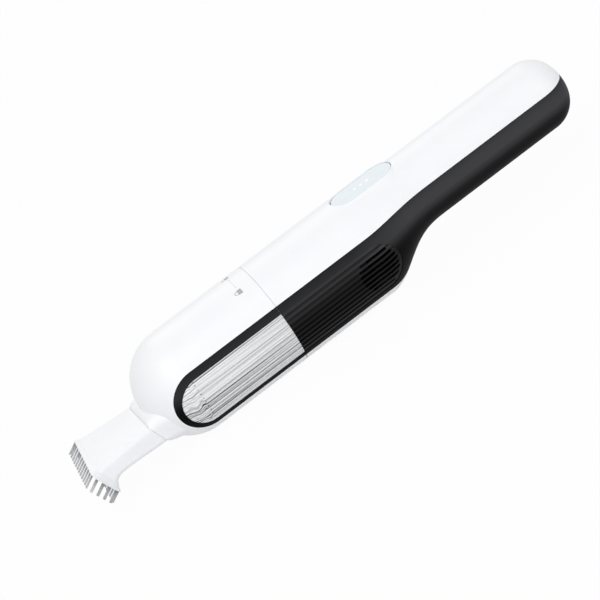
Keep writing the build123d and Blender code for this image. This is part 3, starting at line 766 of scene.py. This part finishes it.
@dataclass
class FrameDress:
    """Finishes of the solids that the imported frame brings."""

    nodes_in: Dict[str, Tuple[str, ...]] = field(
        default_factory=lambda: {
            "white_inner_shade": ("top_shell", "belly_cover"),
            "white_shell": ("cup_shell",),
            "black_shell": ("lower_shell", "window_frame_left", "window_frame_right"),
            "black_ribbed": ("exhaust_grille_left", "exhaust_grille_right"),
            "clear_fluted": ("window_left", "window_right"),
            "button_blue": ("power_button",),
            "light_guide": ("button_lights",),
            "nozzle_white": ("brush_nozzle",),
            "pale_inner": ("front_bulkhead", "lock_ring", "filter_frame", "inlet_duct", "impeller"),
            "dark_inner": ("fan_shroud", "motor_end_cap", "battery_holder", "tact_switch"),
            "seal_rubber": ("cup_seal", "nozzle_seal", "filter_seal"),
            "flap_rubber": ("inlet_flap",),
            "filter_cloth": ("filter_pleats",),
            "motor_alloy": ("motor_can",),
            "stacked_steel": ("motor_stator", "rotor_core"),
            "plain_steel": ("motor_shaft", "board_screws", "case_screws", "flap_pin"),
            "plated_contact": ("cell_contacts", "charging_port"),
            "green_board": ("control_board", "charge_board"),
            "cell_sleeve": ("battery_cells",),
        }
    )

    def dress(self, finishes: Finishes) -> None:
        """Dress every solid that stays.

        Args:
            finishes: The made finishes.
        """
        for finish, nodes in self.nodes_in.items():
            for node in nodes:
                finishes.dress(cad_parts[node], finish)
                LOG.info("%s dressed in %s", node, finish)


def piece_from(name: str, bm: bmesh.types.BMesh, smooth: bool = True) -> bpy.types.Object:
    """Make a finished bmesh an object at the origin.

    Args:
        name: Name of the piece.
        bm: The bmesh, which is freed.
        smooth: Whether its faces shade smoothly.

    Returns:
        The new object.
    """
    mesh = bpy.data.meshes.new(name)
    bm.to_mesh(mesh)
    bm.free()
    for face in mesh.polygons:
        face.use_smooth = smooth
    piece = bpy.data.objects.new(name, mesh)
    bpy.context.scene.collection.objects.link(piece)
    return piece


def rounded_plate(
    bm: bmesh.types.BMesh, width: float, height: float, corner: float, place: Matrix, segments: int = 8
) -> List[bmesh.types.BMVert]:
    """Add a flat round-cornered plate.

    Args:
        bm: Mesh that gets the plate.
        width: Size across.
        height: Size down.
        corner: Corner radius.
        place: Where its middle lies and how it is turned.
        segments: Steps in each corner.

    Returns:
        The plate's corner points.
    """
    sized = place @ Matrix.Diagonal((width, height, 1.0, 1.0))
    made = bmesh.ops.create_grid(bm, x_segments=1, y_segments=1, size=0.5, matrix=sized)
    turned = bmesh.ops.bevel(
        bm,
        geom=made["verts"],
        offset=corner,
        offset_type="OFFSET",
        affect="VERTICES",
        segments=segments,
        profile=0.5,
        material=-1,
    )
    return turned["verts"]


def sleeve(name: str, sections: Sequence[Section], segments: int = 10) -> bpy.types.Object:
    """Model an open sleeve through round-cornered sections.

    Args:
        name: Name of the piece.
        sections: Width, height, corner radius and place of each section.
        segments: Steps in each corner.

    Returns:
        The sleeve.
    """
    bm = bmesh.new()
    loops: List[List[bmesh.types.BMEdge]] = []
    for width, height, corner, place in sections:
        known = set(bm.edges)
        rounded_plate(bm, width, height, corner, place, segments)
        loops.append([edge for edge in bm.edges if edge not in known])
    bmesh.ops.delete(bm, geom=bm.faces[:], context="FACES_ONLY")
    for first, second in zip(loops, loops[1:]):
        bmesh.ops.bridge_loops(bm, edges=first + second)
    bmesh.ops.recalc_face_normals(bm, faces=bm.faces[:])
    return piece_from(name, bm)


@dataclass
class BrushHead:
    """Bristle tufts round the nozzle's mouth and the band behind them."""

    front_top: float = -129.2 * MM
    top_rise: float = -0.3 * MM
    root_x: float = -92.5 * MM
    root_rise: float = -1.4 * MM
    root_tilt: float = 19.5
    tilt: float = 22.8
    skew: float = 5.7
    root: Triple = (37.6 * MM, 14.4 * MM, 3.1 * MM)
    neck: Triple = (46.4 * MM, 11.8 * MM, 3.6 * MM)
    mouth: Triple = (55.3 * MM, 19.6 * MM, 4.7 * MM)
    flare_powers: Tuple[int, int, int] = (20, 9, 9)
    wall: float = 3.4 * MM
    backing: float = 0.8 * MM
    backing_inset: float = 0.4 * MM
    tufts: int = 32
    tuft_inset: float = 1.06 * MM
    strands_across: int = 7
    strands_deep: int = 3
    strand_pitch: float = 0.25 * MM
    row_pitch: float = 0.20 * MM
    strand_radius: float = 0.13 * MM
    strand_sides: int = 5
    tip_share: float = 0.82
    foot_lift: float = 0.2 * MM
    bristle_length: float = 7.6 * MM
    raggedness: float = 0.25 * MM
    seed: int = 11
    dip: float = 29.5
    fan: float = 4.0
    band_proud: float = 0.22 * MM
    band_sunk: float = 0.05 * MM
    band_shares: Tuple[float, ...] = (0.915, 0.922, 0.94, 0.958, 0.976, 0.988, 0.998)

    def plane(self, along: float) -> Matrix:
        """Plane of a nozzle section, its x to the right and its y down.

        Args:
            along: Share of the way from root to mouth.

        Returns:
            Matrix of the plane, its origin at the section's top edge.
        """
        lean = math.radians(self.root_tilt + (self.tilt - self.root_tilt) * along)
        yaw = math.radians(self.skew * along)
        right = Vector((math.sin(yaw), math.cos(yaw), 0.0))
        out = Vector((-math.cos(yaw) * math.cos(lean), math.sin(yaw) * math.cos(lean), -math.sin(lean)))
        down = out.cross(right)
        origin = DATUMS.point(
            self.root_x + (self.front_top - self.root_x) * along,
            0.0,
            self.root_rise + (self.top_rise - self.root_rise) * along,
        )
        turned = Matrix((right, down, out)).transposed().to_4x4()
        return Matrix.Translation(origin) @ turned

    def tuft_line(self) -> Triple:
        """Width, height and corner radius of the line that the tufts follow."""
        inset = self.tuft_inset
        return self.mouth[0] - 2 * inset, self.mouth[1] - 2 * inset, self.mouth[2] - inset

    def round_the_mouth(self, distance: float) -> Tuple[Vector, float]:
        """Spot on the line that the tufts follow.

        Args:
            distance: Way along the line from the middle of its top edge.

        Returns:
            The spot in the mouth's plane and the heading there, in radians.
        """
        width, height, corner = self.tuft_line()
        half_top = width / 2 - corner
        side = height - 2 * corner
        straight = (half_top, side, 2 * half_top, side, half_top)
        spot = Vector((0.0, -height / 2))
        heading = 0.0
        left = distance
        for index, run in enumerate(straight):
            way = Vector((math.cos(heading), math.sin(heading)))
            if left <= run or index == len(straight) - 1:
                spot = spot + way * left
                break
            spot = spot + way * run
            left -= run
            arc = corner * math.pi / 2
            turn = min(left, arc) / corner
            normal = Vector((-math.sin(heading), math.cos(heading)))
            spot = spot + way * corner * math.sin(turn) + normal * corner * (1 - math.cos(turn))
            heading += turn
            left -= min(left, arc)
            if left <= 0.0:
                break
        return spot + Vector((0.0, self.mouth[1] / 2)), heading

    def line_length(self) -> float:
        """Length of the line that the tufts follow."""
        width, height, corner = self.tuft_line()
        return 2 * (width + height) - 8 * corner + 2 * math.pi * corner

    def build_bristles(self) -> bpy.types.Object:
        """Model the tufts on their backing ring.

        Returns:
            The bristles.
        """
        bm = bmesh.new()
        mouth = self.plane(1.0)
        middle = mouth @ Matrix.Translation((0.0, self.mouth[1] / 2, self.backing / 2))
        width, height, corner = self.mouth
        inset = self.backing_inset
        rim = rounded_plate(bm, width - 2 * inset, height - 2 * inset, corner - inset, middle)
        plate = [face for face in bm.faces if face.verts[0] in rim]
        bmesh.ops.inset_region(bm, faces=plate, thickness=self.wall - 2 * inset, use_even_offset=True)
        bmesh.ops.delete(bm, geom=plate, context="FACES")
        bmesh.ops.solidify(bm, geom=bm.faces[:], thickness=self.backing / 2)
        lean = math.radians(self.dip)
        way = Vector((-math.cos(lean), 0.0, -math.sin(lean)))
        dice = random.Random(self.seed)
        for tuft in range(self.tufts):
            spot, heading = self.round_the_mouth(self.line_length() * (tuft + 0.5) / self.tufts)
            side = Vector((math.cos(heading), math.sin(heading)))
            out = Vector((math.sin(heading), -math.cos(heading)))
            for column in range(self.strands_across):
                for row in range(self.strands_deep):
                    across = (column - (self.strands_across - 1) / 2) * self.strand_pitch
                    deep = (row - (self.strands_deep - 1) / 2) * self.row_pitch
                    foot = spot + side * across + out * deep
                    root = mouth @ Vector((foot.x, foot.y, self.foot_lift))
                    fan = mouth.to_3x3() @ Vector((*(side * across + out * deep), 0.0))
                    ahead = (way + fan * self.fan).normalized()
                    length = self.bristle_length - dice.uniform(0.0, self.raggedness)
                    turn = ahead.to_track_quat("Z", "X").to_matrix().to_4x4()
                    bmesh.ops.create_cone(
                        bm,
                        cap_ends=True,
                        segments=self.strand_sides,
                        radius1=self.strand_radius,
                        radius2=self.strand_radius * self.tip_share,
                        depth=length,
                        matrix=Matrix.Translation(root + ahead * length / 2) @ turn,
                    )
        along = bm.verts.layers.float.new("along")
        flat = mouth.inverted()
        for vert in bm.verts:
            vert[along] = min(1.0, max(0.0, (flat @ vert.co).z / self.bristle_length))
        return piece_from("bristle_tufts", bm, False)

    def build_band(self) -> bpy.types.Object:
        """Model the narrow band that holds the tufts.

        Returns:
            The band.
        """
        sections: List[Section] = []
        for share in self.band_shares:
            width, height, corner = [
                a + (b - a) * share + (c - b) * share**power
                for a, b, c, power in zip(self.root, self.neck, self.mouth, self.flare_powers)
            ]
            edge = share in (self.band_shares[0], self.band_shares[-1])
            proud = -self.band_sunk if edge else self.band_proud
            place = self.plane(share) @ Matrix.Translation((0.0, height / 2, 0.0))
            sections.append((width + 2 * proud, height + 2 * proud, corner + proud, place))
        return sleeve("bristle_band", sections)

    def build(self, finishes: Finishes) -> None:
        """Build and dress the head.

        Args:
            finishes: The made finishes.
        """
        bristles = self.build_bristles()
        finishes.dress(bristles, "bristle_nylon")
        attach(bristles, "brush_nozzle")
        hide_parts("brush_bristles")
        band = self.build_band()
        finishes.dress(band, "nozzle_white")
        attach(band, "brush_nozzle")
        LOG.info("%s with %d tufts, and %s", bristles.name, self.tufts, band.name)


@dataclass
class SeamLips:
    """Shallow lips behind the ring seam and the nozzle seam, which leave each a fine line."""

    stations: Span = (-0.3 * MM, 0.08 * MM)
    radii: Span = (29.6 * MM, 30.82 * MM)
    steps: int = 180
    foot: float = 44.75 * MM
    inset: float = 0.01 * MM
    thickness: float = 0.26 * MM

    def build_ring(self) -> bpy.types.Object:
        """Model the lip behind the ring seam.

        Returns:
            The lip.
        """
        bm = bmesh.new()
        length = self.stations[1] - self.stations[0]
        depth = self.radii[1] - self.radii[0]
        middle = DATUMS.point(sum(self.stations) / 2, 0.0, sum(self.radii) / 2)
        upright = Matrix.Rotation(math.pi / 2, 4, "X") @ Matrix.Diagonal((length, depth, 1.0, 1.0))
        bmesh.ops.create_grid(
            bm, x_segments=1, y_segments=1, size=0.5, matrix=Matrix.Translation(middle) @ upright
        )
        bmesh.ops.delete(bm, geom=bm.faces[:], context="FACES_ONLY")
        bmesh.ops.spin(
            bm,
            geom=bm.verts[:] + bm.edges[:],
            cent=DATUMS.point(0.0, 0.0, 0.0),
            axis=(1.0, 0.0, 0.0),
            dvec=(0.0, 0.0, 0.0),
            angle=2.0 * math.pi,
            steps=self.steps,
            use_merge=True,
        )
        bmesh.ops.bisect_plane(
            bm,
            geom=bm.verts[:] + bm.edges[:] + bm.faces[:],
            plane_co=(0.0, 0.0, self.foot),
            plane_no=(0.0, 0.0, -1.0),
            clear_outer=True,
        )
        bmesh.ops.holes_fill(bm, edges=[edge for edge in bm.edges if edge.is_boundary])
        bmesh.ops.recalc_face_normals(bm, faces=bm.faces[:])
        return piece_from("ring_seam_lip", bm, False)

    def build_collar(self, head: BrushHead) -> bpy.types.Object:
        """Model the lip behind the nozzle's root.

        Args:
            head: Brush head whose root it fits.

        Returns:
            The lip.
        """
        width, height, corner = head.root
        sections = [
            (
                width - 2 * self.inset,
                height - 2 * self.inset,
                corner - self.inset,
                head.plane(0.0) @ Matrix.Translation((0.0, height / 2, offset)),
            )
            for offset in (-self.thickness, 0.0)
        ]
        return sleeve("nozzle_seam_lip", sections)

    def build(self, finishes: Finishes, head: BrushHead) -> None:
        """Build and dress the lips.

        Args:
            finishes: The made finishes.
            head: Brush head whose root the nozzle's lip fits.
        """
        for lip, body, finish, slot in (
            (self.build_ring(), "dust_cup", "white_shell", "white_shell"),
            (self.build_collar(head), "brush_nozzle", "nozzle_white", "nozzle"),
        ):
            finishes.dress(lip, finish)
            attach(lip, body)
            LOG.info("%s set behind its seam", lip.name)


class Mark(Enum):
    """Printed signs on the dust cup, by the side of the middle that each lies on."""

    LOCKED = 1
    UNLOCKED = -1


@dataclass
class LockMarks:
    """Shut and open padlock printed on the cup, with a line between them."""

    middle_arc: float = 4.2 * MM
    reach: float = 9.6 * MM
    station: float = -9.72 * MM
    body: Span = (2.6 * MM, 3.5 * MM)
    shackle_radii: Span = (0.75 * MM, 1.15 * MM)
    leg: float = 0.85 * MM
    aside: float = 0.7 * MM
    line: Span = (0.22 * MM, 11.2 * MM)
    dot: float = 0.3 * MM
    sunk: float = 0.05 * MM
    proud: float = 0.05 * MM

    def wrap(self, bm: bmesh.types.BMesh) -> None:
        """Lift a flat print to its thickness and lay it round the cup.

        Args:
            bm: Print drawn flat, x along the body and y round it.
        """
        bmesh.ops.recalc_face_normals(bm, faces=bm.faces[:])
        bmesh.ops.solidify(bm, geom=bm.faces[:], thickness=self.sunk + self.proud)
        low = min(vert.co.z for vert in bm.verts)
        for vert in bm.verts:
            angle = vert.co.y / DATUMS.body_radius
            radius = DATUMS.body_radius - self.sunk + vert.co.z - low
            vert.co = DATUMS.point(vert.co.x, -radius * math.sin(angle), radius * math.cos(angle))
        bmesh.ops.recalc_face_normals(bm, faces=bm.faces[:])

    def padlock(self, mark: Mark) -> bpy.types.Object:
        """Model one padlock.

        Args:
            mark: Which of the two signs.

        Returns:
            The sign.
        """
        bm = bmesh.new()
        arc = self.middle_arc + mark.value * self.reach
        place = Matrix.Translation((self.station, arc, 0.0)) @ Matrix.Diagonal((*self.body, 1.0, 1.0))
        bmesh.ops.create_grid(bm, x_segments=1, y_segments=6, size=0.5, matrix=place)
        shut = mark is Mark.LOCKED
        top = self.station - self.body[0] / 2
        centre = Vector((top - self.leg, arc if shut else arc + self.aside, 0.0))
        ends = [bm.verts.new(centre + Vector((0.0, radius, 0.0))) for radius in self.shackle_radii]
        first = bm.edges.new(ends)
        spun = bmesh.ops.spin(
            bm,
            geom=[first, *ends],
            cent=centre,
            axis=(0.0, 0.0, 1.0),
            dvec=(0.0, 0.0, 0.0),
            angle=math.pi,
            steps=14,
        )
        last = [item for item in spun["geom_last"] if isinstance(item, bmesh.types.BMEdge)]
        for edge in [first, *last] if shut else last:
            grown = bmesh.ops.extrude_edge_only(bm, edges=[edge])["geom"]
            moved = [item for item in grown if isinstance(item, bmesh.types.BMVert)]
            bmesh.ops.translate(bm, verts=moved, vec=(self.leg, 0.0, 0.0))
        self.wrap(bm)
        return piece_from(f"padlock_{mark.name.lower()}", bm, False)

    def link_line(self) -> bpy.types.Object:
        """Model the line between the two signs.

        Returns:
            The line.
        """
        bm = bmesh.new()
        place = Matrix.Translation((self.station, self.middle_arc, 0.0))
        bmesh.ops.create_grid(
            bm, x_segments=1, y_segments=16, size=0.5, matrix=place @ Matrix.Diagonal((*self.line, 1.0, 1.0))
        )
        for end in (-1, 1):
            middle = Matrix.Translation((self.station, self.middle_arc + end * self.line[1] / 2, 0.0))
            bmesh.ops.create_circle(bm, cap_ends=True, segments=12, radius=self.dot, matrix=middle)
        self.wrap(bm)
        return piece_from("lock_line", bm, False)

    def build(self, finishes: Finishes) -> None:
        """Build and dress the signs.

        Args:
            finishes: The made finishes.
        """
        signs = [(self.padlock(mark), "grey_ink") for mark in Mark]
        for sign, ink in (*signs, (self.link_line(), "pale_ink")):
            finishes.dress(sign, ink)
            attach(sign, "dust_cup")
            LOG.info("%s printed", sign.name)


@dataclass(frozen=True)
class SoftLamp:
    """Broad square lamp aimed at the object."""

    name: str
    place: Triple
    aim: Triple
    size: float
    power: float

    def build(self) -> None:
        """Hang the lamp."""
        light = bpy.data.lights.new(self.name, "AREA")
        light.shape = "SQUARE"
        light.size = self.size
        light.energy = self.power
        lamp = bpy.data.objects.new(self.name, light)
        lamp.location = self.place
        lamp.rotation_euler = (Vector(self.aim) - Vector(self.place)).to_track_quat("-Z", "Y").to_euler()
        bpy.context.scene.collection.objects.link(lamp)


@dataclass
class Studio:
    """White room, soft lamps and the camera."""

    target: Triple = (-15.942 * MM, 0.185 * MM, 26.316 * MM)
    distance: float = 1.469
    azimuth: float = -7.9
    elevation: float = 25.04
    roll: float = -33.762
    lens: float = 161.61
    sensor: float = 36.0
    sight: float = 30.0
    floor_size: float = 12.0
    floor_dark: Colour = (0.78, 0.78, 0.79)
    floor_light: Colour = (0.8, 0.8, 0.81)
    floor_mottling: Noise = (6.0, 2.0)
    room_tint: Colour = (0.97, 0.98, 1.0)
    room_light: float = 0.62
    white_share: float = 0.96
    lamps: Tuple[SoftLamp, ...] = (
        SoftLamp("key_lamp", (-0.5, -0.75, 1.35), (0.0, 0.0, 0.03), 1.1, 7.4),
        SoftLamp("front_lamp", (-0.35, -1.7, 0.55), (0.0, 0.0, 0.03), 1.2, 4.2),
        SoftLamp("fill_lamp", (1.1, -1.0, 0.7), (0.02, 0.0, 0.03), 1.0, 2.5),
        SoftLamp("back_lamp", (0.2, 1.2, 1.1), (0.0, 0.0, 0.04), 1.0, 3.0),
    )

    def seen_white(self, tree: bpy.types.NodeTree) -> Socket:
        """One where the camera, a reflection or a clear piece looks, and zero for other light.

        Args:
            tree: Node tree that gets the nodes.

        Returns:
            Socket with the value.
        """
        path = tree.nodes.new("ShaderNodeLightPath")
        total = path.outputs["Is Camera Ray"]
        for ray in ("Is Glossy Ray", "Is Transmission Ray"):
            either = tree.nodes.new("ShaderNodeMath")
            either.operation = "MAXIMUM"
            tree.links.new(total, either.inputs[0])
            tree.links.new(path.outputs[ray], either.inputs[1])
            total = either.outputs["Value"]
        return total

    def build_room(self) -> None:
        """Make the white world."""
        world = bpy.data.worlds.new("white_room")
        world.use_nodes = True
        tree = world.node_tree
        plain = tree.nodes["Background"]
        plain.inputs["Color"].default_value = (*self.room_tint, 1.0)
        plain.inputs["Strength"].default_value = self.room_light
        white = tree.nodes.new("ShaderNodeBackground")
        white.inputs["Color"].default_value = (1.0, 1.0, 1.0, 1.0)
        mix = tree.nodes.new("ShaderNodeMixShader")
        tree.links.new(self.seen_white(tree), mix.inputs["Fac"])
        tree.links.new(plain.outputs["Background"], mix.inputs[1])
        tree.links.new(white.outputs["Background"], mix.inputs[2])
        tree.links.new(mix.outputs["Shader"], tree.nodes["World Output"].inputs["Surface"])
        bpy.context.scene.world = world

    def build_floor(self) -> None:
        """Lay the white floor."""
        bm = bmesh.new()
        bmesh.ops.create_grid(bm, x_segments=1, y_segments=1, size=self.floor_size / 2)
        floor = piece_from("studio_floor", bm)
        sheet = NodeSheet("floor_white")
        sheet.paint(sheet.tones(sheet.noise(*self.floor_mottling), self.floor_dark, self.floor_light))
        sheet.plain(Roughness=0.9, Specular_IOR_Level=0.0)
        glow = sheet.node("ShaderNodeEmission")
        mix = sheet.node("ShaderNodeMixShader")
        sheet.join(sheet.math("MULTIPLY", self.seen_white(sheet.tree), self.white_share), mix.inputs["Fac"])
        sheet.join(sheet.shader.outputs["BSDF"], mix.inputs[1])
        sheet.join(glow.outputs["Emission"], mix.inputs[2])
        sheet.join(mix.outputs["Shader"], sheet.tree.nodes["Material Output"].inputs["Surface"])
        floor.data.materials.append(sheet.material)

    def build_camera(self) -> None:
        """Set the camera where the picture was taken from."""
        turn, lift, roll = (math.radians(x) for x in (self.azimuth, self.elevation, self.roll))
        back = Vector((math.sin(turn) * math.cos(lift), -math.cos(turn) * math.cos(lift), math.sin(lift)))
        level = (-back).cross(Vector((0.0, 0.0, 1.0))).normalized()
        upright = level.cross(-back)
        right = level * math.cos(roll) + upright * math.sin(roll)
        top = upright * math.cos(roll) - level * math.sin(roll)
        lens = bpy.data.cameras.new("picture_camera")
        lens.lens = self.lens
        lens.sensor_width = self.sensor
        lens.clip_end = self.sight
        camera = bpy.data.objects.new("picture_camera", lens)
        facing = Matrix((right, top, back)).transposed().to_4x4()
        camera.matrix_world = Matrix.Translation(Vector(self.target) + back * self.distance) @ facing
        bpy.context.scene.collection.objects.link(camera)
        bpy.context.scene.camera = camera

    def build(self) -> None:
        """Make the room, the floor, the lamps and the camera."""
        self.build_room()
        self.build_floor()
        for lamp in self.lamps:
            lamp.build()
        self.build_camera()
        bpy.context.scene.view_settings.view_transform = "Standard"
        LOG.info("studio with %d lamps", len(self.lamps))


def main() -> None:
    """Build and dress every piece in order."""
    logging.basicConfig(level=logging.INFO, format="%(name)s: %(message)s")
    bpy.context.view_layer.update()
    finishes = Finishes()
    FrameDress().dress(finishes)
    head = BrushHead()
    head.build(finishes)
    SeamLips().build(finishes, head)
    LockMarks().build(finishes)
    Studio().build()


if __name__ == "__main__":
    main()
